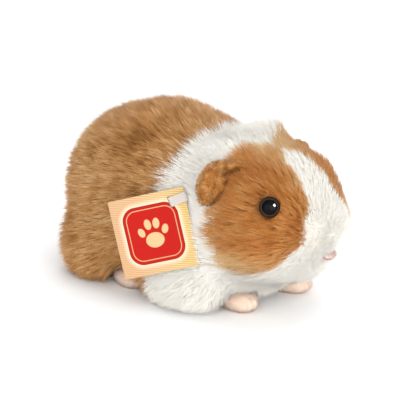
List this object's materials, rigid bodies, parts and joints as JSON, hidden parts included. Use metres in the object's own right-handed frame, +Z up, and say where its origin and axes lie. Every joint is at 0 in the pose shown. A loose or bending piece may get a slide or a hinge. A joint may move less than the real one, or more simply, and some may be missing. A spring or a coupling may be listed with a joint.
{
  "type": "plush guinea pig toy",
  "caption": "Soft toy guinea pig lying on its belly, brown and white plush with a card hang tag at the neck.",
  "frame": {"origin": "on the floor under the middle of the belly, on the toy's plane of symmetry", "axes": "+X towards the nose, +Y the toy's left, +Z up"},
  "size_m": [0.1916, 0.118, 0.105],
  "materials": {
    "plush_brown": "dense pile plush, golden brown with darker streaks",
    "plush_white": "dense pile plush, white",
    "plush_orange": "short pile plush, orange brown patches on white",
    "velour_tan": "velour, tan",
    "velour_pink": "velour, flesh pink",
    "nose_pink": "velour, pink",
    "eye_black": "polished black plastic",
    "card_cream": "printed card, cream, stands in as matte plastic",
    "ribbon_satin": "satin ribbon, off white"
  },
  "bodies": {
    "root": {"ear_left": "velour_tan", "ear_right": "velour_tan", "eye_left": "eye_black", "eye_right": "eye_black", "foreleg_left": "plush_white", "foreleg_right": "plush_white", "forepaw_left": "velour_pink", "forepaw_right": "velour_pink", "haunch_left": "plush_brown", "haunch_right": "plush_brown", "head": "plush_orange", "hindfoot_left": "velour_pink", "hindfoot_right": "velour_pink", "neck": "plush_white", "nose": "nose_pink", "tag_card": "card_cream", "tag_ribbon": "ribbon_satin", "trunk": "plush_brown"}
  },
  "joints": []
}
